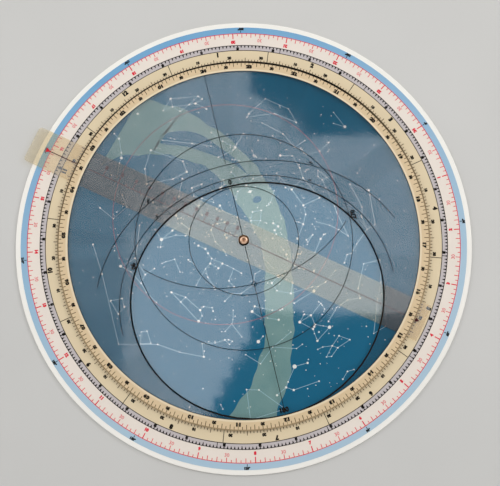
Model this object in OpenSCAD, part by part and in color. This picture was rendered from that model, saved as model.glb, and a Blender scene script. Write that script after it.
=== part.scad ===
// Planisphere: a rotating star chart for one latitude.
// A printed base, a clear pointer strip and a clear overlay disc turn on one rivet.
// The origin is on the rivet's axis, at the back of the base, with +Z out of the printed face.

/* [Base plate] */
// Radius of the white base plate
plate_r = 145; // [130:1:165]
// Thickness of the base plate
plate_t = 1.2; // [1:0.1:2]
// Width of the bare white rim
rim_w = 3.2; // [2:0.1:5]
// Bevel of the plate's two edges
edge_bevel = 0.3; // [0.1:0.05:0.4]

/* [Printed bands of the base] */
// Width of the blue band of ecliptic longitudes
longitude_band_w = 4; // [3:0.1:6]
// Width of the white band of right ascensions
right_ascension_band_w = 8.1; // [6:0.1:10]
// Width of the grey band of days
day_band_w = 3.8; // [3:0.1:5]
// Width of the cream band of dates that shows outside the overlay
date_band_w = 7.7; // [6:0.1:10]
// How far the cream band runs on under the edge of the overlay
date_band_tuck = 3.2; // [1:0.1:5]
// Thickness of a printed colour band
print_t = 0.1; // [0.05:0.01:0.2]
// Thickness of a printed mark
ink_t = 0.06; // [0.03:0.01:0.1]

/* [Scale marks] */
// Width of a thin printed line
thin_line_w = 0.4; // [0.2:0.05:0.5]
// Width of a bold printed line
bold_line_w = 0.6; // [0.4:0.05:0.8]
// Width of the circle round the edge of the overlay
edge_line_w = 0.8; // [0.6:0.05:1]
// Length of a right ascension mark at a full hour
hour_mark_l = 3.6; // [2:0.1:4.5]
// Length of a right ascension mark at a half hour
half_hour_mark_l = 2.9; // [1:0.1:3.5]
// Length of a longitude mark
longitude_mark_l = 1.5; // [1:0.1:2.5]
// Length of the tooth at each tenth day of a month
ten_day_mark_l = 1.8; // [1:0.1:2.4]
// Width of that tooth at its root
ten_day_mark_w = 1.1; // [0.6:0.1:1.5]
// Length of a full hour's mark on the hour ring
clock_mark_l = 4; // [2:0.1:5]

/* [Sky] */
// Latitude that the chart is made for, in degrees
latitude = 50; // [45:1:55]
// Polar distances are divided by this before the tangent that spaces them out
projection_divisor = 3.1; // [2.8:0.1:3.6]
// Tilt of the ecliptic to the equator, in degrees
ecliptic_tilt = 23.4; // [20:0.1:26]
// Depth of the Sun below the horizon at the end of civil twilight, in degrees
civil_dip = 6; // [4:1:8]
// Depth of the Sun below the horizon at the end of astronomical twilight, in degrees
dark_dip = 18; // [14:1:20]
// Azimuth, either side of north, at which the civil twilight line ends
civil_line_end = 126; // [90:1:130]
// Azimuth, either side of north, at which the astronomical twilight line ends
dark_line_end = 112; // [80:1:120]
// Right ascension at the first of January on the date band, in degrees
new_year_ascension = 279.8; // [270:0.1:290]

/* [Pointer strip] */
// Width of the strip
pointer_w = 24; // [18:0.5:30]
// Thickness of the strip
pointer_t = 0.5; // [0.3:0.1:1]
// How far the tab reaches past the rim of the plate
tab_reach = 6; // [4:0.5:12]
// Radius of the tab's corners
tab_corner_r = 2.2; // [1:0.1:4]
// How far the strip's other end stays inside the outer edge of the date band
pointer_end_inset = 1.2; // [0.5:0.1:3]
// Width of the line along the strip
pointer_line_w = 0.45; // [0.2:0.05:0.6]
// Height of an index triangle
index_l = 2.6; // [1.5:0.1:4]
// Width of an index triangle
index_w = 3; // [2:0.1:4]
// Length of a declination mark
declination_mark_l = 3.6; // [1:0.1:5]
// Southernmost declination mark, in degrees below the equator
declination_low = 30; // [10:10:30]

/* [Overlay disc] */
// Thickness of the clear overlay disc
overlay_t = 0.6; // [0.4:0.1:1.2]
// Width of the opaque hour ring at its edge
hour_ring_w = 6.5; // [5:0.1:8]
// Width of the horizon line
horizon_line_w = 1; // [0.6:0.1:1.6]
// Radius of the zenith mark
zenith_mark_r = 1.2; // [0.8:0.1:2]

/* [Rivet] */
// Radius of the rivet's shank
shank_r = 2; // [1.5:0.1:3]
// Gap all round between the shank and each hole
shank_clearance = 0.05; // [0.02:0.01:0.09]
// Radius of the flush head behind, and of the washer in front
head_r = 3.4; // [3.3:0.1:5]
// Thickness of the head
head_t = 0.5; // [0.4:0.05:0.7]
// Gap round the head in its countersink
head_clearance = 0.1; // [0.05:0.05:0.3]
// Thickness of the front washer
washer_t = 0.3; // [0.2:0.05:0.6]
// How far the rolled end reaches past the shank
roll_reach = 0.45; // [0.3:0.05:0.9]
// Radius of the hollow in the rolled end
hollow_r = 0.7; // [0.4:0.05:1]
// Depth of that hollow below the washer
hollow_depth = 1.4; // [0.8:0.1:2]
// Number of splits round the rolled end
splits = 6; // [4:1:8]
// Width of a split
split_w = 0.16; // [0.1:0.02:0.3]
// Depth of a split
split_depth = 0.4; // [0.2:0.05:0.5]

/* [Fit and resting angles] */
// Gap between two sheets that turn past each other
sheet_gap = 0.12; // [0.08:0.01:0.3]
// Direction of right ascension zero at rest, in degrees from +X towards +Y
chart_angle = 33.1; // [0:0.1:360]
// Direction of the pointer's tab at rest
pointer_angle = 155.1; // [150:0.1:160]
// Direction of the overlay's northern mark at rest
overlay_angle = 103.4; // [0:0.1:360]

/* [Hidden] */
$fn = 180;

// Cuts run this far past the faces that they open
cut = 0.5;

// Heights of the layers, from the back of the plate to the washer
plate_top = plate_t;
band_top = plate_top + print_t;
mark_top = band_top + ink_t;
pointer_bottom = mark_top + sheet_gap;
pointer_top = pointer_bottom + pointer_t;
overlay_bottom = pointer_top + ink_t + sheet_gap;
overlay_top = overlay_bottom + overlay_t;
film_top = overlay_top + print_t;
washer_bottom = film_top + ink_t + sheet_gap;
washer_top = washer_bottom + washer_t;

// Radii of the printed bands, from the rim inwards
longitude_r = plate_r - rim_w;
right_ascension_r = longitude_r - longitude_band_w;
day_r = right_ascension_r - right_ascension_band_w;
date_r = day_r - day_band_w;
overlay_r = date_r - date_band_w;
star_field_r = overlay_r - date_band_tuck;
map_r = overlay_r - hour_ring_w;

// Holes for the shank, and where the marks round it stop
shank_hole_r = shank_r + shank_clearance;
washer_r = head_r;
mark_start_r = washer_r + thin_line_w;

// The rolled end is half a ring of round section that stands on the washer
roll_r = shank_r + roll_reach;
roll_section_r = (roll_r - hollow_r) / 2;
roll_middle_r = roll_r - roll_section_r;

// Calendar and clock
month_days = [31, 28, 31, 30, 31, 30, 31, 31, 30, 31, 30, 31];
year_days = 365;
hours = 24;
hour_angle = 360 / hours;
longitude_step = 30;
declination_step = 10;
curve_step = 4;
curve_parts = 60;
circle_step = 2;

// Distance from the pole of the chart, for a polar distance in degrees.
// The southern horizon of the chart's latitude falls on the edge of the map.
map_limit = 180 - latitude;
chart_scale = map_r / tan(map_limit / projection_divisor);
function chart_r(polar_distance) = chart_scale * tan(polar_distance / projection_divisor);
function polar(r, angle) = [r * cos(angle), r * sin(angle)];

// Right ascensions run clockwise on the chart
function chart_direction(ascension) = chart_angle - ascension;
function date_direction(day) = chart_direction(new_year_ascension + 360 * day / year_days);

// The day band gives the real Sun's place, which differs from the mean date by the equation of time.
// That is in minutes of time, and the Earth turns a degree in four of them.
function time_equation(day) =
    let (b = 360 * (day - 81) / year_days)
    9.87 * sin(2 * b) - 7.53 * cos(b) - 1.5 * sin(b);
function sun_direction(day) = date_direction(day) + time_equation(day) / 4;

// Days of the year before month m, with both counted from 0
function days_before(m) = m == 0 ? 0 : month_days[m - 1] + days_before(m - 1);

// Right ascension of a point of the ecliptic, and its place on the chart
function ecliptic_ascension(longitude) = atan2(sin(longitude) * cos(ecliptic_tilt), cos(longitude));
function ecliptic_point(longitude) =
    polar(chart_r(90 - asin(sin(longitude) * sin(ecliptic_tilt))),
          chart_direction(ecliptic_ascension(longitude)));

// Place on the overlay of a point of the sky, from its azimuth east of north and its altitude.
// Hour angles run counter-clockwise from the south mark.
function sky_declination(azimuth, altitude) =
    asin(sin(altitude) * sin(latitude) + cos(altitude) * cos(latitude) * cos(azimuth));
function sky_hour_angle(azimuth, altitude) =
    atan2(-cos(altitude) * sin(azimuth),
          sin(altitude) * cos(latitude) - cos(altitude) * sin(latitude) * cos(azimuth));
function sky_point(azimuth, altitude) =
    polar(chart_r(90 - sky_declination(azimuth, altitude)),
          overlay_angle + 180 + sky_hour_angle(azimuth, altitude));

// Points at one depth below the horizon, between two azimuths either side of north
function dip_line(dip, end_azimuth) = [
    for (a = [-end_azimuth:2 * end_azimuth / curve_parts:end_azimuth]) sky_point(a, -dip)
];

// Points moved sideways by d along the curve's own normals
function unit(v) = v / norm(v);
function side_shift(points, d, closed) = [
    for (i = [0:len(points) - 1])
        let (
            last = len(points) - 1,
            before = points[i > 0 ? i - 1 : closed ? last : 0],
            after = points[i < last ? i + 1 : closed ? 0 : last],
            along = unit(after - before)
        )
        points[i] + d * [-along[1], along[0]]
];

// Flat shapes that the prints are made of
module ring_2d(outer_r, inner_r) {
    difference() {
        circle(r = outer_r);
        circle(r = inner_r);
    }
}

module loop_2d(points, w) {
    near_side = side_shift(points, w / 2, true);
    far_side = side_shift(points, -w / 2, true);
    difference() {
        polygon(far_side);
        polygon(near_side);
    }
}

// A thin circle is a fine polygon, like the curves that it meets
module circle_line_2d(outer_r, w) {
    loop_2d([for (a = [0:circle_step:359]) polar(outer_r - w / 2, a)], w);
}

module open_line_2d(points, w) {
    near_side = side_shift(points, w / 2, false);
    far_side = side_shift(points, -w / 2, false);
    count = len(points);
    polygon(concat(near_side, [for (i = [1:count]) far_side[count - i]]));
}

module radial_mark_2d(angle, inner_r, outer_r, w) {
    rotate(angle)
        translate([inner_r, -w / 2])
            square([outer_r - inner_r, w]);
}

// A triangle whose base is at base_r and whose tip is at tip_r
module pointed_mark_2d(angle, base_r, tip_r, w) {
    side = sign(tip_r - base_r) * w / 2;
    rotate(angle)
        polygon([[base_r, -side], [tip_r, 0], [base_r, side]]);
}

module band(outer_r, inner_r, bottom, height) {
    translate([0, 0, bottom])
        linear_extrude(height = height)
            ring_2d(outer_r, inner_r);
}

// A mark on the face at the given height
module inked(height) {
    translate([0, 0, height])
        linear_extrude(height = ink_t)
            children();
}

module shank_hole(bottom, top) {
    translate([0, 0, bottom - cut])
        cylinder(r = shank_hole_r, h = top - bottom + 2 * cut);
}

// Base plate, with a countersink behind that takes the rivet's head flush
module base_plate() {
    color([0.94, 0.93, 0.89])
        difference() {
            rotate_extrude()
                polygon([
                    [0, 0],
                    [plate_r - edge_bevel, 0],
                    [plate_r, edge_bevel],
                    [plate_r, plate_t - edge_bevel],
                    [plate_r - edge_bevel, plate_t],
                    [0, plate_t],
                ]);
            shank_hole(0, plate_t);
            translate([0, 0, -cut])
                cylinder(r = head_r + head_clearance, h = head_t + cut);
        }
}

// Printed colour areas of the base
module star_field() {
    color([0.16, 0.42, 0.58])
        band(star_field_r, shank_hole_r, plate_top, print_t);
}

module date_band() {
    color([0.9, 0.83, 0.68])
        band(date_r, star_field_r, plate_top, print_t);
}

module day_band() {
    color([0.76, 0.74, 0.75])
        band(day_r, date_r, plate_top, print_t);
}

module right_ascension_band() {
    color([0.92, 0.88, 0.85])
        band(right_ascension_r, day_r, plate_top, print_t);
}

module longitude_band() {
    color([0.5, 0.73, 0.88])
        band(longitude_r, right_ascension_r, plate_top, print_t);
}

// Ecliptic on the star field
module star_field_lines() {
    color([0.75, 0.35, 0.4])
        inked(band_top)
            loop_2d([for (a = [0:curve_step:359]) ecliptic_point(-a)], thin_line_w);
}

// First of each month across the date band, up to the circle round it
module date_scale() {
    end_r = date_r - thin_line_w / 4;
    color([0.1, 0.1, 0.1])
        inked(band_top)
            for (m = [0:len(month_days) - 1])
                radial_mark_2d(date_direction(days_before(m)), overlay_r, end_r, thin_line_w);
}

// Both circles of the day band, a line at the start of each month, and a tooth at its 10th, 20th and 30th
module day_scale() {
    inner_r = date_r + thin_line_w / 2;
    outer_r = day_r - thin_line_w / 2;
    color([0.1, 0.1, 0.1])
        inked(band_top)
            union() {
                circle_line_2d(date_r + thin_line_w, thin_line_w);
                circle_line_2d(day_r, thin_line_w);
                for (m = [0:len(month_days) - 1]) {
                    radial_mark_2d(sun_direction(days_before(m)), inner_r, outer_r, thin_line_w);
                    for (d = [10:10:month_days[m]])
                        pointed_mark_2d(sun_direction(days_before(m) + d - 1), outer_r,
                                        outer_r - ten_day_mark_l, ten_day_mark_w);
                }
            }
}

// Outer circle of the right ascension band, with its hours and half hours
module right_ascension_scale() {
    mark_r = right_ascension_r - thin_line_w / 2;
    color([0.8, 0.22, 0.28])
        inked(band_top)
            union() {
                circle_line_2d(right_ascension_r, thin_line_w);
                for (i = [0:hours - 1]) {
                    radial_mark_2d(chart_direction(i * hour_angle), mark_r - hour_mark_l, mark_r, bold_line_w);
                    radial_mark_2d(chart_direction((i + 0.5) * hour_angle), mark_r - half_hour_mark_l, mark_r,
                                   thin_line_w);
                }
            }
}

// Ecliptic longitudes, each at its own right ascension
module longitude_marks() {
    color([0.1, 0.1, 0.1])
        inked(band_top)
            for (a = [0:longitude_step:359])
                radial_mark_2d(chart_direction(ecliptic_ascension(a)), right_ascension_r + thin_line_w,
                               right_ascension_r + thin_line_w + longitude_mark_l, thin_line_w);
}

// Pointer strip: rounded tab at one end, an arc at the other
module pointer_outline_2d() {
    tab_end = plate_r + tab_reach;
    end_r = date_r - pointer_end_inset;
    half_w = pointer_w / 2;
    translate([0, -half_w])
        square([tab_end - tab_corner_r, pointer_w]);
    translate([0, tab_corner_r - half_w])
        square([tab_end, pointer_w - 2 * tab_corner_r]);
    for (side = [-1, 1])
        translate([tab_end - tab_corner_r, side * (half_w - tab_corner_r)])
            circle(r = tab_corner_r);
    intersection() {
        circle(r = end_r);
        translate([-end_r, -half_w])
            square([end_r + cut, pointer_w]);
    }
}

module pointer_strip() {
    color([0.86, 0.82, 0.72, 0.6])
        rotate(pointer_angle)
            difference() {
                translate([0, 0, pointer_bottom])
                    linear_extrude(height = pointer_t)
                        pointer_outline_2d();
                shank_hole(pointer_bottom, pointer_top);
            }
}

// Line along the strip, its declination marks, and an index for each of the two scales that it reads
module pointer_scale() {
    date_index_r = overlay_r + thin_line_w;
    color([0.7, 0.25, 0.28])
        inked(pointer_top)
            rotate(pointer_angle)
                union() {
                    radial_mark_2d(0, mark_start_r, right_ascension_r, pointer_line_w);
                    radial_mark_2d(180, mark_start_r, date_index_r + index_l / 2, pointer_line_w);
                    pointed_mark_2d(0, right_ascension_r + index_l, right_ascension_r - pointer_line_w, index_w);
                    pointed_mark_2d(180, date_index_r, date_index_r + index_l, index_w);
                    for (d = [-declination_low:declination_step:80])
                        translate([chart_r(90 - d) - pointer_line_w / 2, -declination_mark_l])
                            square([pointer_line_w, declination_mark_l]);
                }
}

module overlay_disc() {
    color([0.85, 0.9, 0.92, 0.3])
        difference() {
            translate([0, 0, overlay_bottom])
                cylinder(r = overlay_r, h = overlay_t);
            shank_hole(overlay_bottom, overlay_top);
        }
}

// Opaque ring at the overlay's edge, for the hours of the day
module hour_ring() {
    color([0.9, 0.8, 0.66])
        band(overlay_r, map_r, overlay_top, print_t);
}

module hour_scale() {
    mark_r = overlay_r - edge_line_w / 2;
    color([0.1, 0.09, 0.07])
        inked(film_top)
            union() {
                circle_line_2d(overlay_r, edge_line_w);
                for (i = [0:hours - 1])
                    radial_mark_2d(overlay_angle + i * hour_angle, mark_r - clock_mark_l, mark_r, thin_line_w);
            }
}

// Outline of the sky that is above an altitude
module sky_window_2d(altitude) {
    polygon([for (a = [0:curve_step:359]) sky_point(a, altitude)]);
}

module horizon_line_2d() {
    loop_2d([for (a = [0:curve_step:359]) sky_point(a, 0)], horizon_line_w);
}

module equator_2d() {
    circle_line_2d(chart_r(90) + thin_line_w / 2, thin_line_w);
}

// Grey tint over the part of the map that is below the horizon.
// Beside the south mark, where the horizon line hides the last sliver of it, the tint is left out.
module horizon_mask() {
    south_gap_w = map_r / 6;
    color([0.36, 0.42, 0.48, 0.6])
        translate([0, 0, overlay_top])
            linear_extrude(height = print_t)
                difference() {
                    circle(r = map_r);
                    sky_window_2d(0);
                    radial_mark_2d(overlay_angle + 180, map_r - horizon_line_w, map_r + cut, south_gap_w);
                }
}

module horizon_line() {
    color([0.05, 0.05, 0.05])
        inked(film_top)
            intersection() {
                circle(r = map_r);
                horizon_line_2d();
            }
}

// Below the horizon: the ends of civil and astronomical twilight, the equator and the northern meridian
module twilight_lines() {
    north_start_r = chart_r(latitude + dark_dip) + 2 * thin_line_w;
    color([0.1, 0.1, 0.1])
        inked(film_top)
            intersection() {
                circle(r = map_r);
                union() {
                    open_line_2d(dip_line(civil_dip, civil_line_end), thin_line_w);
                    open_line_2d(dip_line(dark_dip, dark_line_end), thin_line_w);
                    radial_mark_2d(overlay_angle, north_start_r, map_r, thin_line_w);
                    difference() {
                        equator_2d();
                        sky_window_2d(0);
                        horizon_line_2d();
                    }
                }
            }
}

// Above the horizon: meridian, prime vertical, equator, zenith, and the circle of stars that never set
module sky_lines() {
    north_r = chart_r(latitude);
    zenith_r = chart_r(90 - latitude);
    inset = horizon_line_w;
    lowest_altitude = 0.5;
    vertical = [for (h = [curve_step:curve_step:180 - curve_step]) sky_point(h < 90 ? 90 : 270, h < 90 ? h : 180 - h)];
    color([0.15, 0.15, 0.15])
        inked(overlay_top)
            difference() {
                union() {
                    radial_mark_2d(overlay_angle, mark_start_r, north_r - inset, thin_line_w);
                    radial_mark_2d(overlay_angle + 180, mark_start_r, map_r - inset, thin_line_w);
                    open_line_2d(vertical, thin_line_w);
                    intersection() {
                        equator_2d();
                        sky_window_2d(lowest_altitude);
                    }
                    ring_2d(north_r - inset, north_r - inset - thin_line_w);
                    translate(polar(zenith_r, overlay_angle + 180))
                        ring_2d(zenith_mark_r + thin_line_w, zenith_mark_r);
                }
                circle(r = mark_start_r);
            }
}

module front_washer() {
    color([0.25, 0.17, 0.11])
        band(washer_r, shank_hole_r, washer_bottom, washer_t);
}

// Semi-tubular rivet: flush head behind, plain shank, and a hollow end that is split and rolled over the washer
module rivet() {
    color([0.75, 0.52, 0.38])
        difference() {
            union() {
                cylinder(r = head_r, h = head_t);
                cylinder(r = shank_r, h = washer_top);
                rotate_extrude()
                    intersection() {
                        translate([roll_middle_r, washer_top])
                            circle(r = roll_section_r);
                        translate([0, washer_top])
                            square([roll_r, roll_section_r]);
                    }
            }
            translate([0, 0, washer_top - hollow_depth])
                cylinder(r = hollow_r, h = hollow_depth + roll_section_r);
            for (i = [0:splits - 1])
                rotate(i * 360 / splits)
                    translate([0, -split_w / 2, washer_top + roll_section_r - split_depth])
                        cube([roll_r + cut, split_w, split_depth + cut]);
        }
}

base_plate();
star_field();
date_band();
day_band();
right_ascension_band();
longitude_band();
star_field_lines();
date_scale();
day_scale();
right_ascension_scale();
longitude_marks();
pointer_strip();
pointer_scale();
overlay_disc();
hour_ring();
hour_scale();
horizon_mask();
horizon_line();
twilight_lines();
sky_lines();
front_washer();
rivet();
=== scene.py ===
# Planisphere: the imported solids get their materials, the fine print and the star chart.
# Print is laid out in millimetres, in the frame of the solids, and scaled to metres when its mesh is made.

import functools
import math
import random

import bmesh
import bpy
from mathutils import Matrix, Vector


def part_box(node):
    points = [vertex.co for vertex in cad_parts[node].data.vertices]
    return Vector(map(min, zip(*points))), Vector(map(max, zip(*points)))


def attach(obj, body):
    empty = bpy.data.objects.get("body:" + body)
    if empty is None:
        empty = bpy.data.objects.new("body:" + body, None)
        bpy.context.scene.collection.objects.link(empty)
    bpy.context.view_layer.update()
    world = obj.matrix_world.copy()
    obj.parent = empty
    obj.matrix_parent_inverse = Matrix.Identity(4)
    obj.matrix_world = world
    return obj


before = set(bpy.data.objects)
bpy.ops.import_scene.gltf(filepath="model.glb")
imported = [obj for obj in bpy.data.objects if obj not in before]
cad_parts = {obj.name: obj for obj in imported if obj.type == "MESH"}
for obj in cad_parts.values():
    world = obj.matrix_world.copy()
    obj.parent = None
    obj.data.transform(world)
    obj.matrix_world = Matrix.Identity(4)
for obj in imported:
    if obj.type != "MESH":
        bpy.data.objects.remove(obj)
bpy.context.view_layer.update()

MM = 0.001


def outer_radius(node):
    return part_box(node)[1].x / MM


def top_of(node):
    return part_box(node)[1].z / MM


# Radii of the bands, from the rim inwards
RIGHT_ASCENSION_R = outer_radius("right_ascension_band")
DAY_R = outer_radius("day_band")
DATE_R = outer_radius("date_band")
OVERLAY_R = outer_radius("overlay_disc")
MAP_R = outer_radius("horizon_mask")
WASHER_R = outer_radius("front_washer")

# Faces that print lies on. A mark is thinner than those of the solids, so that these stay on top.
BASE_FACE = top_of("star_field")
POINTER_FACE = top_of("pointer_strip")
FILM_FACE = top_of("horizon_mask")
INK_T = 0.045
MILKY_WAY_T = 0.015
GAP_T = MILKY_WAY_T + 0.005
FIGURE_LINE_T = 0.03

# Resting angles and sky of the chart, as the source of the solids has them
CHART_ANGLE = 33.1
POINTER_ANGLE = 155.1
OVERLAY_ANGLE = 103.4
LATITUDE = 50
PROJECTION_DIVISOR = 3.1
ECLIPTIC_TILT = 23.4
CIVIL_DIP = 6
DARK_DIP = 18
NEW_YEAR_ASCENSION = 279.8
YEAR_DAYS = 365
MONTH_DAYS = [31, 28, 31, 30, 31, 30, 31, 31, 30, 31, 30, 31]
SPRING_DAY = 81
MINUTES_PER_DEGREE = 4
HOURS = 24
HOUR_ANGLE = 360 / HOURS
MARKS_PER_HOUR = 12
HOUR_MARK_L = 3.6
DECLINATION_MARK_L = 3.6
DECLINATION_LOW = -30

# Widths of the print, and how far letters swell to look bold
LINE_W = 0.4
EDGE_LINE_W = 0.8
LIGHT_WEIGHT = 0
BOLD_WEIGHT = 0.06
HEAVY_WEIGHT = 0.09
BLACK_WEIGHT = 0.12


def sin(degrees):
    return math.sin(math.radians(degrees))


def cos(degrees):
    return math.cos(math.radians(degrees))


def polar(r, angle):
    return (r * cos(angle), r * sin(angle))


def turned(point, angle, centre=(0, 0)):
    x, y = point
    return (centre[0] + x * cos(angle) - y * sin(angle), centre[1] + x * sin(angle) + y * cos(angle))


def inward_turn(place):
    """Turn of letters at a place, so that their tops point to the middle of the disc."""
    return math.degrees(math.atan2(place[1], place[0])) + 90


# Places on the chart: a polar distance gives the radius, and right ascensions run clockwise
CHART_SCALE = MAP_R / math.tan(math.radians((180 - LATITUDE) / PROJECTION_DIVISOR))


def chart_r(polar_distance):
    return CHART_SCALE * math.tan(math.radians(polar_distance / PROJECTION_DIVISOR))


def chart_direction(ascension):
    return CHART_ANGLE - ascension


def chart_point(ascension, declination):
    return polar(chart_r(90 - declination), chart_direction(ascension))


def date_direction(day):
    return chart_direction(NEW_YEAR_ASCENSION + 360 * day / YEAR_DAYS)


def sun_direction(day):
    """Where the real Sun is: the date's direction moved by the equation of time."""
    season = 360 * (day - SPRING_DAY) / YEAR_DAYS
    minutes = 9.87 * sin(2 * season) - 7.53 * cos(season) - 1.5 * sin(season)
    return date_direction(day) + minutes / MINUTES_PER_DEGREE


def ecliptic_ascension(longitude):
    return math.degrees(math.atan2(sin(longitude) * cos(ECLIPTIC_TILT), cos(longitude)))


def seen_from_north(turn, height, pole):
    """Declination and angle about the north pole of a point given by its angles about another pole."""
    declination = math.degrees(math.asin(sin(height) * sin(pole) + cos(height) * cos(pole) * cos(turn)))
    across = cos(height) * sin(turn)
    along = sin(height) * cos(pole) - cos(height) * sin(pole) * cos(turn)
    return declination, math.degrees(math.atan2(across, along))


def sky_point(azimuth, altitude, outward=0):
    """Place on the overlay of a point of the sky, moved outward from the pole."""
    declination, hour_angle = seen_from_north(-azimuth, altitude, LATITUDE)
    return polar(chart_r(90 - declination) + outward, OVERLAY_ANGLE + 180 + hour_angle)


def new_object(name, data):
    thing = bpy.data.objects.new(name, data)
    bpy.context.scene.collection.objects.link(thing)
    return thing


# Print


@functools.cache
def word_shape(words, weight):
    """Flat letters as points and faces, one unit high and centred, with their two faces at z 0 and 1."""
    curve = bpy.data.curves.new("words", "FONT")
    curve.body = words
    curve.extrude = 0.5
    curve.offset = weight
    # With these steps the swollen outline of every figure closes
    curve.resolution_u = 4 if weight == HEAVY_WEIGHT else 2
    holder = bpy.data.objects.new("words", curve)
    mesh = bpy.data.meshes.new_from_object(holder)
    form = bmesh.new()
    form.from_mesh(mesh)
    merge_distance = 1e-4
    bmesh.ops.remove_doubles(form, verts=form.verts, dist=merge_distance)
    bmesh.ops.recalc_face_normals(form, faces=form.faces)
    form.verts.index_update()
    xs = [v.co.x for v in form.verts]
    ys = [v.co.y for v in form.verts]
    middle = Vector(((min(xs) + max(xs)) / 2, (min(ys) + max(ys)) / 2, 0))
    height = max(ys) - min(ys)
    points = []
    for v in form.verts:
        place = (v.co - middle) / height
        points.append((place.x, place.y, 1 if v.co.z > 0 else 0))
    faces = [[v.index for v in face.verts] for face in form.faces]
    form.free()
    bpy.data.meshes.remove(mesh)
    bpy.data.objects.remove(holder)
    return points, faces


class Print:
    """Flat marks of one colour on one face, gathered into a single mesh of closed prisms."""

    def __init__(self, face, thickness=INK_T):
        self.bottom = face
        self.top = face + thickness
        self.points = []
        self.faces = []

    def prism(self, outline):
        """Upright prism over an outline whose points run counter-clockwise."""
        first = len(self.points)
        n = len(outline)
        self.points += [(x, y, self.bottom) for x, y in outline]
        self.points += [(x, y, self.top) for x, y in outline]
        self.faces.append([first + i for i in reversed(range(n))])
        self.faces.append([first + n + i for i in range(n)])
        for i in range(n):
            j = (i + 1) % n
            self.faces.append([first + i, first + j, first + n + j, first + n + i])

    def strip(self, left, right, closed=False):
        """Ribbon between two rows of points, as seen when walking along it."""
        first = len(self.points)
        n = len(left)
        for (lx, ly), (rx, ry) in zip(left, right):
            self.points += [(rx, ry, self.bottom), (lx, ly, self.bottom)]
            self.points += [(rx, ry, self.top), (lx, ly, self.top)]
        for i in range(n if closed else n - 1):
            a = first + 4 * i
            b = first + 4 * ((i + 1) % n)
            self.faces.append([a + 2, b + 2, b + 3, a + 3])
            self.faces.append([a, a + 1, b + 1, b])
            self.faces.append([a, b, b + 2, a + 2])
            self.faces.append([a + 1, a + 3, b + 3, b + 1])
        if not closed:
            last = first + 4 * (n - 1)
            self.faces.append([first, first + 2, first + 3, first + 1])
            self.faces.append([last, last + 1, last + 3, last + 2])

    def ring(self, outer_r, inner_r):
        angles = range(0, 360, 2)
        inner = [polar(inner_r, a) for a in angles]
        outer = [polar(outer_r, a) for a in angles]
        self.strip(inner, outer, closed=True)

    def disc(self, centre, r, sides):
        turns = [360 * i / sides for i in range(sides)]
        self.prism([(centre[0] + r * cos(a), centre[1] + r * sin(a)) for a in turns])

    def line(self, start, end, w):
        along = Vector(end) - Vector(start)
        side = Vector((-along.y, along.x)).normalized() * w / 2
        corners = [Vector(start) - side, Vector(end) - side, Vector(end) + side, Vector(start) + side]
        self.prism([tuple(corner) for corner in corners])

    def mark(self, angle, inner_r, outer_r, w, tip_w=None):
        """Radial mark, w wide outside and tip_w wide inside."""
        inner_w = w if tip_w is None else tip_w
        rows = [(inner_r, -inner_w), (outer_r, -w), (outer_r, w), (inner_r, inner_w)]
        self.prism([turned((x, y / 2), angle) for x, y in rows])

    def words(self, words, centre, height, turn, weight=BOLD_WEIGHT, stretch=1.0):
        points, faces = word_shape(words, weight)
        first = len(self.points)
        for x, y, z in points:
            place = turned((x * height * stretch, y * height), turn, centre)
            self.points.append((*place, self.top if z else self.bottom))
        self.faces += [[first + i for i in face] for face in faces]

    def inward_words(self, words, r, angle, height, weight):
        """Letters whose tops point to the middle of the disc."""
        self.words(words, polar(r, angle), height, angle + 90, weight)

    def outward_words(self, words, r, angle, height, weight, stretch=1.0):
        """Letters whose tops point to the rim of the disc."""
        self.words(words, polar(r, angle), height, angle - 90, weight, stretch)

    def make(self, name, material, body):
        mesh = bpy.data.meshes.new(name)
        mesh.from_pydata([[c * MM for c in point] for point in self.points], [], self.faces)
        mesh.materials.append(material)
        piece = new_object(name, mesh)
        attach(piece, body)


# Materials


PRINT_ROUGHNESS = 0.5

# Higher than a plastic's, because a tinted sheet shows its gloss only on the share that it covers
SHEET_IOR = 1.9


def srgb(red, green, blue):
    """Colour as a screen shows it, 0 to 255, turned into the linear values that a shader takes."""
    def linear(level):
        level /= 255
        return level / 12.92 if level <= 0.04045 else ((level + 0.055) / 1.055) ** 2.4
    return (linear(red), linear(green), linear(blue), 1)


def scaled(colour, factor):
    return (*[min(1, c * factor) for c in colour[:3]], 1)


def set_ranges(node, from_low, from_high, to_low, to_high):
    node.inputs["From Min"].default_value = from_low
    node.inputs["From Max"].default_value = from_high
    node.inputs["To Min"].default_value = to_low
    node.inputs["To Max"].default_value = to_high


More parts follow.
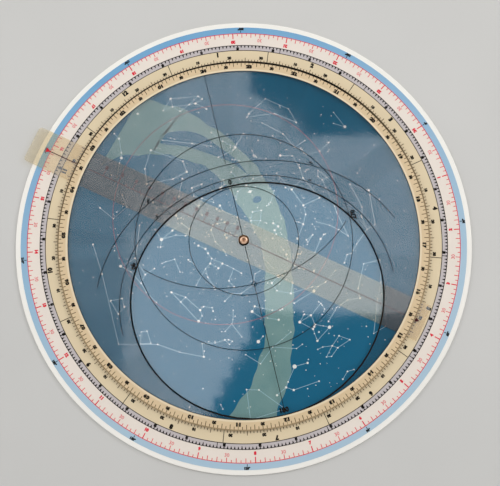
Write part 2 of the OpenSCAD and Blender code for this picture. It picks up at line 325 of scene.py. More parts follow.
class Surface:
    """Node material around one Principled shader, in object coordinates."""

    def __init__(self, name, roughness, specular=0.5, metallic=0.0):
        self.material = bpy.data.materials.new(name)
        self.material.use_nodes = True
        self.nodes = self.material.node_tree.nodes
        self.links = self.material.node_tree.links
        self.shader = self.nodes["Principled BSDF"]
        self.shader.inputs["Roughness"].default_value = roughness
        self.shader.inputs["Specular IOR Level"].default_value = specular
        self.shader.inputs["Metallic"].default_value = metallic
        self.place = self.nodes.new("ShaderNodeTexCoord").outputs["Object"]

    def join(self, source, target):
        self.links.new(source, target)

    def noise(self, feature_mm, detail=2.0):
        """Noise whose blotches are about feature_mm across."""
        node = self.nodes.new("ShaderNodeTexNoise")
        node.inputs["Scale"].default_value = 1 / (feature_mm * MM)
        node.inputs["Detail"].default_value = detail
        self.join(self.place, node.inputs["Vector"])
        return node.outputs["Fac"]

    def maths(self, operation, first, second=None):
        node = self.nodes.new("ShaderNodeMath")
        node.operation = operation
        for socket, value in zip(node.inputs, (first, second)):
            if isinstance(value, (int, float)):
                socket.default_value = value
            elif value is not None:
                self.join(value, socket)
        return node.outputs["Value"]

    def mapped(self, value, low, high, from_low=0.3, from_high=0.7):
        node = self.nodes.new("ShaderNodeMapRange")
        set_ranges(node, from_low, from_high, low, high)
        self.join(value, node.inputs["Value"])
        return node.outputs["Result"]

    def mixed(self, factor, first, second):
        node = self.nodes.new("ShaderNodeMix")
        node.data_type = "RGBA"
        self.join(factor, node.inputs["Factor"])
        for socket, colour in ((node.inputs["A"], first), (node.inputs["B"], second)):
            if isinstance(colour, tuple):
                socket.default_value = colour
            else:
                self.join(colour, socket)
        return node.outputs["Result"]

    def radius_mm(self):
        """Distance from the rivet's axis."""
        flat = self.nodes.new("ShaderNodeVectorMath")
        flat.operation = "MULTIPLY"
        flat.inputs[1].default_value = (1 / MM, 1 / MM, 0)
        self.join(self.place, flat.inputs[0])
        length = self.nodes.new("ShaderNodeVectorMath")
        length.operation = "LENGTH"
        self.join(flat.outputs["Vector"], length.inputs[0])
        return length.outputs["Value"]

    def towards_mm(self, angle):
        """Distance from the rivet's axis in one direction of the disc, less than 0 behind it."""
        along = self.nodes.new("ShaderNodeVectorMath")
        along.operation = "DOT_PRODUCT"
        along.inputs[1].default_value = (cos(angle) / MM, sin(angle) / MM, 0)
        self.join(self.place, along.inputs[0])
        return along.outputs["Value"]

    def colour(self, value):
        self.join(value, self.shader.inputs["Base Color"])

    def roughness(self, value):
        self.join(value, self.shader.inputs["Roughness"])

    def bump(self, height, depth_mm):
        node = self.nodes.new("ShaderNodeBump")
        node.inputs["Strength"].default_value = 0.5
        node.inputs["Distance"].default_value = depth_mm * MM
        self.join(height, node.inputs["Height"])
        self.join(node.outputs["Normal"], self.shader.inputs["Normal"])

    def seen_through(self, cover, tint=(1, 1, 1, 1)):
        """The face covers that share of what lies beneath, and lets the rest straight through, tinted."""
        clear = self.nodes.new("ShaderNodeBsdfTransparent")
        clear.inputs["Color"].default_value = tint
        mix = self.nodes.new("ShaderNodeMixShader")
        self.join(cover, mix.inputs["Fac"])
        self.join(clear.outputs["BSDF"], mix.inputs[1])
        self.join(self.shader.outputs["BSDF"], mix.inputs[2])
        self.join(mix.outputs["Shader"], self.nodes["Material Output"].inputs["Surface"])

    def glancing(self, straight, edge):
        """Share of light that a clear face sends back, from straight on to along the face."""
        weight = self.nodes.new("ShaderNodeLayerWeight")
        weight.inputs["Blend"].default_value = 0.5
        steepness = 4
        steep = self.maths("POWER", weight.outputs["Facing"], steepness)
        return self.mapped(steep, straight, edge, 0, 1)


def print_surface(name, colour, cloud=0.05, specular=0.1):
    """Offset print on plastic: an even colour with slight clouds, a fine grain and a soft gloss."""
    surface = Surface(name, PRINT_ROUGHNESS, specular)
    clouds = surface.noise(14, 3)
    grain = surface.noise(0.5)
    tone = surface.mixed(clouds, scaled(colour, 1 - cloud), scaled(colour, 1 + cloud))
    speck = surface.mixed(grain, scaled(colour, 1 - 1.6 * cloud), scaled(colour, 1 + 1.6 * cloud))
    half = surface.maths("MULTIPLY", grain, 0.5)
    surface.colour(surface.mixed(half, tone, speck))
    surface.roughness(surface.mapped(grain, PRINT_ROUGHNESS - 0.06, PRINT_ROUGHNESS + 0.06))
    surface.bump(grain, 0.01)
    return surface.material


def plate_surface():
    """Off-white rigid sheet with a fine pebble, and handling marks that dull its gloss."""
    surface = Surface("plate_plastic", 0.38)
    pale = srgb(246, 243, 236)
    clouds = surface.noise(30, 4)
    smears = surface.noise(9, 5)
    pebble = surface.noise(0.35)
    surface.colour(surface.mixed(clouds, scaled(pale, 0.94), scaled(pale, 1.03)))
    surface.roughness(surface.mapped(smears, 0.3, 0.5))
    surface.bump(pebble, 0.02)
    return surface.material


def hour_ring_surface():
    """Peach print of the hours, with its paler inner edge."""
    surface = Surface("hour_print", 0.42)
    peach = srgb(218, 193, 154)
    pale = srgb(230, 212, 180)
    grain = surface.noise(0.5)
    clouds = surface.noise(18, 3)
    inner = surface.mapped(surface.radius_mm(), 1, 0, MAP_R + 0.9, MAP_R + 1.5)
    tone = surface.mixed(clouds, scaled(peach, 0.95), scaled(peach, 1.05))
    surface.colour(surface.mixed(inner, tone, pale))
    surface.roughness(surface.mapped(grain, 0.34, 0.48))
    surface.bump(grain, 0.01)
    return surface.material


def longitude_surface():
    """Blue print, paler towards the viewer's side of the disc."""
    surface = Surface("longitude_print", 0.5, specular=0.3)
    deep_blue = srgb(110, 164, 204)
    pale_blue = srgb(172, 197, 214)
    clouds = surface.noise(25, 3)
    grain = surface.noise(0.5)
    paler_towards_viewer = surface.mapped(surface.towards_mm(110), 0, 1, 130, -60)
    tone = surface.mixed(paler_towards_viewer, deep_blue, pale_blue)
    surface.colour(surface.mixed(surface.mapped(clouds, 0, 0.15), tone, srgb(158, 194, 218)))
    surface.roughness(surface.mapped(grain, 0.44, 0.56))
    surface.bump(grain, 0.01)
    return surface.material


def edge_ink_surface():
    """Ink of the line round the overlay, with painted shadow of the overlay's raised edge that makes it black
    at the far side, and paler elsewhere, where the printed line is thin.
    """
    surface = Surface("edge_ink_and_painted_shadow", 0.5, specular=0.1)
    clouds = surface.noise(9, 3)
    # painted shadow: the ink is darkest towards the far side, where the overlay's raised edge shades the base
    away_from_painted_shadow = surface.mapped(surface.towards_mm(100), 0.55, 0, -20, 90)
    patchy_shadow_fade = surface.maths("MULTIPLY", away_from_painted_shadow, surface.mapped(clouds, 0.85, 1.15))
    surface.colour(surface.mixed(patchy_shadow_fade, srgb(24, 18, 12), srgb(206, 180, 140)))
    surface.roughness(surface.mapped(clouds, 0.42, 0.58))
    return surface.material


def milky_way_surface():
    """Pale grey green with faint clouds of stars."""
    surface = Surface("milky_way_print", 0.5, specular=0.1)
    clouds = surface.noise(11, 4)
    grain = surface.noise(0.4)
    tone = surface.mixed(clouds, srgb(104, 146, 147), srgb(132, 164, 161))
    speckled = surface.mixed(surface.mapped(grain, 0, 0.25, 0.55, 0.75), tone, srgb(166, 190, 185))
    surface.colour(speckled)
    surface.roughness(surface.mapped(grain, 0.44, 0.56))
    return surface.material


def per_face(cover):
    """A sheet is crossed at two faces, so each one covers less than the sheet does."""
    return 1 - math.sqrt(1 - cover)


def clear_surface():
    """Clear polished sheet: gloss that grows towards the edge, over what lies beneath."""
    surface = Surface("overlay_plastic", 0.05, metallic=1.0)
    smears = surface.noise(22, 5)
    surface.colour(surface.mixed(smears, srgb(236, 242, 246), srgb(255, 255, 255)))
    surface.roughness(surface.mapped(smears, 0.03, 0.09))
    surface.seen_through(surface.glancing(0.045, 0.6))
    return surface.material


def tinted_surface(name, colour, cover, roughness, tint=(1, 1, 1, 1)):
    """Sheet or film that hides what lies beneath by its cover, tints the rest and has a gloss of its own."""
    surface = Surface(name, roughness)
    surface.shader.inputs["IOR"].default_value = SHEET_IOR
    clouds = surface.noise(20, 4)
    surface.colour(surface.mixed(clouds, scaled(colour, 0.9), scaled(colour, 1.1)))
    surface.roughness(surface.mapped(clouds, roughness * 0.7, roughness * 1.3))
    thin = per_face(cover)
    surface.seen_through(surface.mapped(clouds, thin * 0.97, thin * 1.03), tint)
    return surface.material


def pointer_ink_surface():
    """Dark red ink of the pointer's thin lines, brighter on its index."""
    surface = Surface("pointer_red_ink", 0.5, specular=0.1)
    clouds = surface.noise(6, 3)
    index = surface.mapped(surface.radius_mm(), 0, 1, RIGHT_ASCENSION_R - 1, RIGHT_ASCENSION_R)
    tone = surface.mixed(index, srgb(70, 26, 30), srgb(206, 36, 48))
    surface.colour(surface.mixed(surface.mapped(clouds, 0, 0.12), tone, srgb(120, 60, 60)))
    surface.roughness(surface.mapped(clouds, 0.44, 0.56))
    return surface.material


def washer_surface():
    """Darkened brass, worn paler at its rim, with painted shade that makes it almost black at the viewer's
    side.
    """
    surface = Surface("washer_metal", 0.42, metallic=1.0)
    tarnish = surface.noise(1.1, 4)
    scratches = surface.noise(0.12, 2)
    band_mask = surface.mapped(surface.radius_mm(), 0, 0.5, WASHER_R - 0.8, WASHER_R)
    # dark tones: tarnish, deepened by painted shade of the rolled end above the washer
    tone = surface.mixed(surface.mapped(tarnish, 0, 1, 0.35, 0.65), srgb(84, 58, 38), srgb(34, 24, 16))
    brass = surface.mixed(band_mask, tone, srgb(132, 100, 70))
    # painted shade: darkest on the viewer's side, where the rolled end shades the washer
    painted_shade = surface.mapped(surface.towards_mm(-95), 0, 1, 1, 2)
    surface.colour(surface.mixed(painted_shade, brass, srgb(14, 10, 7)))
    surface.roughness(surface.mapped(scratches, 0.34, 0.52))
    surface.bump(scratches, 0.02)
    return surface.material


def rivet_surface():
    """Copper-coloured rolled end: bright on the roll, darker in a broken ring and in the hollow."""
    surface = Surface("rivet_metal", 0.3, metallic=1.0)
    bright = srgb(228, 190, 162)
    brown = srgb(120, 82, 54)
    ring_r = 1.1
    tarnish = surface.noise(1.1, 4)
    scratches = surface.noise(0.12, 2)
    r = surface.radius_mm()
    from_ring = surface.maths("ABSOLUTE", surface.maths("SUBTRACT", r, ring_r))
    ring = surface.mapped(from_ring, 0.9, 0, 0.1, 0.26)
    hollow = surface.mapped(r, 1, 0, 0.45, 0.75)
    band_mask = surface.maths("MAXIMUM", ring, hollow)
    dark_patches = surface.maths("MAXIMUM", band_mask, surface.mapped(tarnish, 0, 0.5, 0.45, 0.7))
    broken = surface.maths("MULTIPLY", dark_patches, surface.mapped(tarnish, 0.55, 1, 0.35, 0.55))
    surface.colour(surface.mixed(broken, bright, brown))
    surface.roughness(surface.mapped(scratches, 0.22, 0.4))
    surface.bump(scratches, 0.02)
    return surface.material


def floor_surface():
    surface = Surface("floor", 0.7, specular=0.2)
    clouds = surface.noise(120, 3)
    surface.colour(surface.mixed(clouds, srgb(200, 199, 196), srgb(210, 209, 206)))
    return surface.material


black_ink = print_surface("black_ink", srgb(24, 20, 17), cloud=0.2)
red_ink = print_surface("red_ink", srgb(222, 44, 66), cloud=0.08)
white_ink = print_surface("white_ink", srgb(245, 246, 240), cloud=0.03)
figure_ink = print_surface("figure_ink", srgb(172, 204, 218))
brown_ink = print_surface("brown_ink", srgb(88, 66, 44), cloud=0.2)
# painted shadow: a soft dark grey-blue line where the hour ring's inner edge shades the map
map_edge_painted_shadow = print_surface("map_edge_painted_shadow", srgb(56, 68, 74), cloud=0.1)

NODE_MATERIALS = {
    "base_plate": plate_surface(),
    "star_field": print_surface("star_field_print", srgb(14, 104, 138), cloud=0.06),
    "date_band": print_surface("date_print", srgb(224, 206, 172), specular=0.3),
    "day_band": print_surface("day_print", srgb(194, 186, 186), specular=0.3),
    "right_ascension_band": print_surface("right_ascension_print", srgb(234, 223, 212), specular=0.3),
    "longitude_band": longitude_surface(),
    "star_field_lines": print_surface("ecliptic_ink", srgb(142, 84, 102), cloud=0.08),
    "right_ascension_scale": red_ink,
    "pointer_strip": tinted_surface(
        "pointer_plastic", srgb(212, 222, 236), cover=0.27, roughness=0.12, tint=srgb(254, 248, 234)),
    "pointer_scale": pointer_ink_surface(),
    "overlay_disc": clear_surface(),
    "hour_ring": hour_ring_surface(),
    "hour_scale": edge_ink_surface(),
    "horizon_mask": tinted_surface("mask_print", srgb(58, 78, 90), cover=0.24, roughness=0.1),
    "front_washer": washer_surface(),
    "rivet": rivet_surface(),
}


def paint_solids():
    for name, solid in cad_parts.items():
        for slot in solid.material_slots:
            slot.material = NODE_MATERIALS.get(name, black_ink)


# Scales of the base


def make_right_ascension_print():
    """Marks for every five minutes between the solids' half hours, and the numbers of the hours."""
    start_r = RIGHT_ASCENSION_R - LINE_W
    long_mark = 2.6
    short_mark = 1.5
    marks = Print(BASE_FACE)
    for i in range(HOURS * MARKS_PER_HOUR):
        if i % (MARKS_PER_HOUR // 2):
            length = short_mark if i % 2 else long_mark
            marks.mark(chart_direction(i * HOUR_ANGLE / MARKS_PER_HOUR), start_r - length, start_r, LINE_W)
    marks.make("minute_marks", red_ink, "base")

    hour_h = 2.3
    half_h = 2.2
    number_gap = 2
    half_depth = 4.3
    hour_r = start_r - HOUR_MARK_L - number_gap
    half_r = start_r - half_depth
    numbers = Print(BASE_FACE)
    for hour in range(HOURS):
        direction = chart_direction(hour * HOUR_ANGLE)
        half_direction = chart_direction((hour + 0.5) * HOUR_ANGLE)
        numbers.inward_words(str(hour or HOURS), hour_r, direction, hour_h, HEAVY_WEIGHT)
        numbers.inward_words("30", half_r, half_direction, half_h, LIGHT_WEIGHT)
    numbers.make("right_ascension_numbers", red_ink, "base")


def make_day_print():
    """Grey band: a tooth for each day between the solids' tenth days, and the numbers of those days."""
    start_r = DAY_R - LINE_W
    tooth_w = 1.1
    tip_w = 0.25
    long_tooth = 1.9
    short_tooth = 1.5
    number_r = DATE_R + 1.35
    number_h = 2.2
    number_stretch = 0.72
    marks = Print(BASE_FACE)
    numbers = Print(BASE_FACE)
    start = 0
    for days in MONTH_DAYS:
        for day in range(1, days + 1):
            direction = sun_direction(start + day - 1)
            if day % 10 == 0:
                numbers.outward_words(str(day), number_r, direction, number_h, BLACK_WEIGHT, number_stretch)
            else:
                length = short_tooth if day % 5 else long_tooth
                marks.mark(direction, start_r - length, start_r, tooth_w, tip_w)
        start += days
    marks.make("day_marks", black_ink, "base")
    numbers.make("day_numbers", black_ink, "base")


def make_date_print():
    """Cream band: a mark for each date outside the overlay, and the numbers of days and months."""
    marks = Print(BASE_FACE)
    numbers = Print(BASE_FACE)
    gap = 0.05
    long_mark = 2.8
    short_mark = 1.6
    day_r = OVERLAY_R + 3
    day_h = 2.1
    month_r = DATE_R - 1.9
    month_h = 3.2
    start = 0
    for month, days in enumerate(MONTH_DAYS):
        for day in range(1, days + 1):
            direction = date_direction(start + day - 1)
            length = long_mark if day % 10 == 5 else short_mark
            if day > 1:
                marks.mark(direction, OVERLAY_R + gap, OVERLAY_R + length, LINE_W)
            if day % 10 == 0:
                numbers.outward_words(str(day), day_r, direction, day_h, HEAVY_WEIGHT)
        middle = date_direction(start + days / 2)
        numbers.outward_words(str(month + 1), month_r, middle, month_h, HEAVY_WEIGHT)
        start += days
    marks.make("date_marks", brown_ink, "base")
    numbers.make("date_numbers", black_ink, "base")


def make_longitude_print():
    """Blue band: the ecliptic longitude at each of the solids' marks."""
    numbers = Print(BASE_FACE)
    number_r = RIGHT_ASCENSION_R + 2.9
    number_h = 1.9
    for longitude in range(0, 360, 30):
        direction = chart_direction(ecliptic_ascension(longitude))
        numbers.inward_words(f"{longitude}°", number_r, direction, number_h, HEAVY_WEIGHT)
    numbers.make("longitude_numbers", black_ink, "base")


# Star chart. Each figure has its stars, as right ascension in hours, declination and magnitude,
# and the lines that join them, by the stars' places in the list.
FIGURES = {
    "great_bear": ([
        (11.06, 61.8, 1.8), (11.03, 56.4, 2.4), (11.9, 53.7, 2.4), (12.26, 57, 3.3), (12.9, 56, 1.8),
        (13.4, 54.9, 2.2), (13.79, 49.3, 1.9), (9.53, 63.1, 3.7), (8.5, 60.7, 3.4), (9.55, 51.7, 3.2),
        (8.99, 48, 3.1), (11.77, 47.8, 3.7), (11.16, 44.5, 3), (10.37, 41.5, 3.1), (11.31, 33.1, 3.5),
    ], [(3, 0, 1, 2, 3, 4, 5, 6), (0, 7, 8), (7, 9, 10), (2, 11, 12, 13), (11, 14)]),
    "little_bear": ([
        (2.53, 89.3, 2), (17.54, 86.6, 4.4), (16.77, 82, 4.2), (15.73, 77.8, 4.3), (16.29, 75.8, 5),
        (15.35, 71.8, 3), (14.85, 74.2, 2.1),
    ], [(0, 1, 2, 3, 4, 5, 6, 3)]),
    "dragon": ([
        (11.52, 69.3, 3.8), (12.56, 69.8, 3.9), (14.07, 64.4, 3.7), (15.42, 59, 3.3), (16.03, 58.6, 4),
        (16.4, 61.5, 2.7), (17.15, 65.7, 3.2), (18.35, 72.7, 3.6), (19.21, 67.7, 3.1), (17.89, 56.9, 3.7),
        (17.94, 51.5, 2.2), (17.51, 52.3, 2.8), (17.54, 55.2, 4.9),
    ], [(0, 1, 2, 3, 4, 5, 6, 7, 8, 9, 10, 11, 12, 9)]),
    "king": ([
        (21.31, 62.6, 2.5), (21.48, 70.6, 3.2), (23.66, 77.6, 3.2), (22.83, 66.2, 3.5), (22.18, 58.2, 3.4),
    ], [(0, 1, 2, 3, 4, 0), (1, 3)]),
    "queen": ([
        (0.15, 59.1, 2.3), (0.68, 56.5, 2.2), (0.95, 60.7, 2.2), (1.43, 60.2, 2.7), (1.91, 63.7, 3.4),
    ], [(0, 1, 2, 3, 4)]),
    "winged_horse": ([
        (0.14, 29.1, 2.1), (23.06, 28.1, 2.4), (23.08, 15.2, 2.5), (0.22, 15.2, 2.8), (21.74, 9.9, 2.4),
        (22.17, 6.2, 3.5), (22.69, 10.8, 3.4), (22.72, 30.2, 2.9), (22.12, 25.3, 3.8),
    ], [(0, 1, 2, 3, 0), (2, 6, 5, 4), (1, 7), (1, 8)]),
    "chained_maiden": ([
        (0.14, 29.1, 2.1), (0.66, 30.9, 3.3), (1.16, 35.6, 2.1), (2.07, 42.3, 2.1), (0.95, 38.5, 3.9),
        (0.83, 41.1, 4.5),
    ], [(0, 1, 2, 3), (2, 4, 5)]),
    "hero": ([
        (2.84, 55.9, 3.8), (3.08, 53.5, 2.9), (3.41, 49.9, 1.8), (3.72, 47.8, 3), (3.96, 40, 2.9),
        (3.98, 35.8, 4), (3.9, 31.9, 2.9), (3.14, 41, 2.1), (3.09, 38.8, 3.4),
    ], [(0, 1, 2, 3, 4, 5, 6), (2, 7, 8)]),
    "charioteer": ([
        (5.28, 46, 0.1), (5.99, 44.9, 1.9), (5.99, 37.2, 2.6), (5.44, 28.6, 1.7), (4.95, 33.2, 2.7),
        (5.03, 43.8, 3),
    ], [(0, 1, 2, 3, 4, 5, 0)]),
    "bull": ([
        (4.6, 16.5, 0.9), (4.33, 15.6, 3.7), (4.48, 19.2, 3.5), (5.63, 21.1, 3), (5.44, 28.6, 1.7),
        (4.01, 12.5, 3.4), (3.41, 9, 3.6), (3.79, 24.1, 2.9), (3.75, 24.4, 3.8), (3.82, 23.7, 3.6),
        (3.72, 23.8, 4.2),
    ], [(6, 5, 1, 0, 3), (1, 2, 4)]),
    "ram": ([
        (2.12, 23.5, 2), (1.91, 20.8, 2.6), (1.89, 19.3, 3.9), (2.83, 27.3, 3.6),
    ], [(3, 0, 1, 2)]),
    "triangle": ([(1.88, 29.6, 3.4), (2.16, 35, 3), (2.29, 33.8, 4)], [(0, 1, 2, 0)]),
    "fishes": ([
        (1.23, 24.6, 4.5), (1.52, 15.3, 3.6), (1.76, 9.2, 4.3), (2.03, 2.8, 3.8), (1.05, 7.9, 4.3),
        (0.81, 7.6, 4.4), (23.99, 6.9, 4), (23.67, 5.6, 4.1), (23.47, 6.4, 4.3), (23.29, 3.3, 3.7),
        (23.7, 1.8, 4.5),
    ], [(0, 1, 2, 3, 4, 5, 6, 7, 8, 9, 10, 7)]),
    "whale": ([
        (3.04, 4.1, 2.5), (2.72, 3.2, 3.5), (2.66, 0.3, 4.1), (2.32, -3, 3.5), (1.86, -10.3, 3.7),
        (1.4, -8.2, 3.6), (1.14, -10.2, 3.5), (0.32, -8.8, 3.6), (0.73, -18, 2), (1.73, -15.9, 3.5),
    ], [(0, 1, 2, 3, 4, 5, 6, 7, 8, 9, 4)]),
    "hunter": ([
        (5.92, 7.4, 0.5), (5.42, 6.3, 1.6), (5.53, -0.3, 2.2), (5.6, -1.2, 1.7), (5.68, -1.9, 1.8),
        (5.24, -8.2, 0.1), (5.8, -9.7, 2.1), (5.59, 9.9, 3.4), (5.59, -5.9, 2.8), (4.84, 8.9, 4.4),
        (4.83, 7, 3.2), (4.85, 5.6, 3.7), (4.9, 2.4, 3.7), (4.98, 1.7, 4.5),
    ], [(0, 1, 2, 3, 4, 0), (2, 5, 6, 4), (0, 7, 1), (1, 10), (9, 10, 11, 12, 13)]),
    "great_dog": ([
        (6.75, -16.7, -1.5), (6.38, -18, 2), (7.05, -23.8, 3), (7.14, -26.4, 1.8), (7.4, -29.3, 2.4),
        (6.98, -29, 1.5), (6.34, -30.1, 3),
    ], [(1, 0, 2, 3, 4), (3, 5, 6)]),
    "little_dog": ([(7.66, 5.2, 0.4), (7.45, 8.3, 2.9)], [(0, 1)]),
    "twins": ([
        (7.58, 31.9, 1.6), (7.76, 28, 1.1), (6.73, 25.1, 3), (6.38, 22.5, 2.9), (6.25, 22.5, 3.3),
        (7.34, 22, 3.5), (7.07, 20.6, 3.8), (6.63, 16.4, 1.9), (7.3, 16.5, 3.6),
    ], [(0, 2, 3, 4), (0, 1, 5, 6, 7), (5, 8)]),
    "crab": ([
        (8.28, 9.2, 3.5), (8.74, 18.2, 3.9), (8.72, 21.5, 4.7), (8.78, 28.8, 4), (8.97, 11.9, 4.3),
    ], [(0, 1, 2, 3), (1, 4)]),
    "lion": ([
        (10.14, 12, 1.4), (10.12, 16.8, 3.5), (10.33, 19.8, 2.2), (10.28, 23.4, 3.4), (9.88, 26, 3.9),
        (9.76, 23.8, 3), (11.24, 20.5, 2.6), (11.24, 15.4, 3.3), (11.82, 14.6, 2.1),
    ], [(0, 1, 2, 3, 4, 5), (2, 6, 8, 7, 0), (6, 7)]),
    "virgin": ([
        (13.42, -11.2, 1), (13.17, -5.5, 4.4), (12.69, -1.4, 2.7), (12.93, 3.4, 3.4), (13.04, 11, 2.8),
        (12.33, -0.7, 3.9), (11.84, 1.8, 3.6), (13.58, -0.6, 3.4), (14.03, 1.5, 4.3), (14.77, 1.9, 3.7),
    ], [(0, 1, 2, 3, 4), (2, 5, 6), (3, 7, 8, 9), (0, 7)]),
    "herdsman": ([
        (14.26, 19.2, 0), (13.91, 18.4, 2.7), (14.75, 27.1, 2.4), (15.26, 33.3, 3.5), (15.03, 40.4, 3.5),
        (14.53, 38.3, 3), (14.53, 30.4, 3.6), (14.69, 13.7, 3.8),
    ], [(1, 0, 2, 3, 4, 5, 6, 0, 7)]),
    "crown": ([
        (15.55, 31.4, 4.1), (15.46, 29.1, 3.7), (15.58, 26.7, 2.2), (15.71, 26.3, 3.8), (15.83, 26.1, 4.6),
        (15.96, 26.9, 4.1),
    ], [(0, 1, 2, 3, 4, 5)]),
    "kneeling_man": ([
        (16.5, 21.5, 2.8), (16.69, 31.6, 2.8), (16.71, 38.9, 3.5), (17.25, 36.8, 3.2), (17, 30.9, 3.9),
        (17.25, 24.8, 3.1), (17.77, 27.7, 3.4), (17.66, 46, 3.8), (16.33, 46.3, 3.9), (16.37, 19.2, 3.7),
        (17.24, 14.4, 3.1),
    ], [(9, 0, 1, 4, 3, 2, 1), (4, 5, 6), (3, 7), (2, 8), (0, 10)]),
    "lyre": ([
        (18.62, 38.8, 0), (18.75, 37.6, 4.3), (18.91, 36.9, 4.2), (18.98, 32.7, 3.2), (18.83, 33.4, 3.5),
    ], [(0, 1, 2, 3, 4, 1)]),
    "swan": ([
        (20.69, 45.3, 1.3), (20.37, 40.3, 2.2), (19.94, 35.1, 3.9), (19.51, 28, 3.1), (20.77, 34, 2.5),
        (21.22, 30.2, 3.2), (19.75, 45.1, 2.9), (19.5, 51.7, 3.8),
    ], [(0, 1, 2, 3), (5, 4, 1, 6, 7)]),
    "eagle": ([
        (19.85, 8.9, 0.8), (19.77, 10.6, 2.7), (19.92, 6.4, 3.7), (19.09, 13.9, 3), (19.42, 3.1, 3.4),
        (19.1, -4.9, 3.4), (20.19, -0.8, 3.2),
    ], [(1, 0, 2, 6), (1, 3), (0, 4, 5)]),
    "dolphin": ([
        (20.66, 15.9, 3.8), (20.63, 14.6, 3.6), (20.72, 15.1, 4.4), (20.78, 16.1, 4.3), (20.55, 11.3, 4),
    ], [(4, 1, 0, 3, 2, 1)]),
    "arrow": ([(19.67, 18, 4.4), (19.79, 18.5, 3.8), (19.98, 19.5, 3.5)], [(0, 1, 2)]),
    "serpent_bearer": ([
        (17.58, 12.6, 2.1), (17.72, 4.6, 2.8), (17.17, -15.7, 2.4), (16.62, -10.6, 2.6), (16.24, -3.7, 2.7),
        (16.96, 9.4, 3.2),
    ], [(0, 1, 2, 3, 4, 5, 0)]),
    "serpent": ([
        (15.77, 15.4, 3.7), (15.81, 18.1, 4.1), (15.58, 10.5, 3.8), (15.74, 6.4, 2.6), (15.85, 4.5, 3.7),
        (15.83, -3.4, 3.5), (17.63, -15.4, 3.5), (18.35, -2.9, 3.3), (18.94, 4.2, 4),
    ], [(0, 1, 0, 2, 3, 4, 5), (6, 7, 8)]),
    "scales": ([
        (14.85, -16, 2.7), (15.28, -9.4, 2.6), (15.59, -14.8, 3.9), (15.07, -25.3, 3.3),
    ], [(0, 1, 2), (1, 0, 3)]),
    "scorpion": ([
        (16.09, -19.8, 2.6), (16.01, -22.6, 2.3), (15.98, -26.1, 2.9), (16.35, -25.6, 2.9), (16.49, -26.4, 1),
        (16.6, -28.2, 2.8), (16.84, -34.3, 2.3), (16.86, -38, 3), (17.56, -37.1, 1.6),
    ], [(0, 1, 2), (1, 3, 4, 5, 6, 7)]),
    "archer": ([
        (18.4, -34.4, 1.8), (18.35, -29.8, 2.7), (18.47, -25.4, 2.8), (18.1, -30.4, 3), (18.76, -27, 3.2),
        (18.92, -26.3, 2), (19.04, -29.9, 2.6), (19.12, -27.7, 3.3), (19.16, -21, 2.9),
    ], [(0, 1, 2, 4, 1, 3, 0, 6, 4, 5, 7, 6), (5, 8)]),
    "sea_goat": ([
        (20.3, -12.5, 3.6), (20.35, -14.8, 3.1), (20.77, -25.3, 4.1), (21.44, -22.4, 3.7),
        (21.78, -16.1, 2.9), (21.1, -17.2, 4.1),
    ], [(0, 1, 2, 3, 4, 5, 0)]),
    "water_bearer": ([
        (20.79, -9.5, 3.8), (21.53, -5.6, 2.9), (22.1, -0.3, 2.9), (22.36, -1.4, 3.8), (22.48, 0, 3.7),
        (22.59, -0.1, 4), (22.88, -7.6, 3.7), (22.91, -15.8, 3.3), (22.28, -7.8, 4.2),
    ], [(0, 1, 2, 3, 4, 5, 6, 7), (2, 8)]),
    "southern_fish": ([(22.96, -29.6, 1.2), (22.68, -27, 4.2), (22.52, -32.3, 4.3)], [(1, 0, 2)]),
    "river": ([
        (5.13, -5.1, 2.8), (4.61, -3.4, 3.9), (4.2, -6.8, 4), (3.97, -13.5, 3), (3.72, -9.8, 3.5),
        (2.94, -8.9, 3.9), (2.75, -18.6, 4.4), (3.33, -21.8, 3.7), (3.78, -23.2, 4.2), (4.59, -30.6, 3.8),
        (4.3, -33.8, 3.6),
    ], [(0, 1, 2, 3, 4, 5, 6, 7, 8, 9, 10)]),
    "hare": ([
        (5.55, -17.8, 2.6), (5.47, -20.8, 2.8), (5.09, -22.4, 3.2), (5.22, -16.2, 3.3), (5.74, -22.4, 3.6),
        (5.86, -20.9, 3.8), (5.78, -14.8, 3.5), (5.94, -14.2, 3.7),
    ], [(3, 0, 1, 2, 3), (1, 4, 5, 0, 6, 7)]),
    "dove": ([(5.66, -34.1, 2.6), (5.85, -35.8, 3.1), (5.52, -35.5, 3.9)], [(2, 0, 1)]),
    "water_snake": ([
        (8.63, 5.7, 4.1), (8.78, 6.4, 3.4), (8.92, 5.9, 3.1), (8.72, 3.4, 4.4), (9.24, 2.3, 3.9),
        (9.66, -1.1, 3.9), (9.46, -8.7, 2), (10.18, -12.4, 3.6), (10.83, -16.2, 3.1), (11.55, -31.9, 3.5),
        (13.32, -23.2, 3), (14.11, -26.7, 3.3),
    ], [(3, 0, 1, 2, 4, 5, 6, 7, 8, 9, 10, 11), (3, 2)]),
    "crow": ([
        (12.26, -17.5, 2.6), (12.5, -16.5, 2.9), (12.57, -23.4, 2.6), (12.17, -22.6, 3),
    ], [(0, 1, 2, 3, 0)]),
    "cup": ([
        (11, -18.3, 4.1), (11.19, -22.8, 4.5), (11.41, -17.7, 4.1), (11.32, -14.8, 3.6),
    ], [(0, 1, 2, 3, 0)]),
    "stern": ([
        (8.13, -24.3, 2.8), (7.82, -24.9, 3.3), (7.29, -37.1, 2.7), (8.06, -40, 2.2), (8.73, -33.2, 3.7),
        (8.67, -35.3, 4),
    ], [(0, 1, 2, 3, 0), (4, 5)]),
    "unicorn": ([
        (7.69, -9.6, 3.9), (7.2, -0.5, 4.2), (6.8, 2.4, 4.5), (6.4, 4.6, 4.3), (6.48, -7, 3.7),
        (6.25, -6.3, 4), (8.14, -3, 4.3),
    ], [(6, 0, 1, 2, 3), (1, 4, 5)]),
    "hunting_dogs": ([(12.93, 38.3, 2.9), (12.56, 41.4, 4.3)], [(0, 1)]),
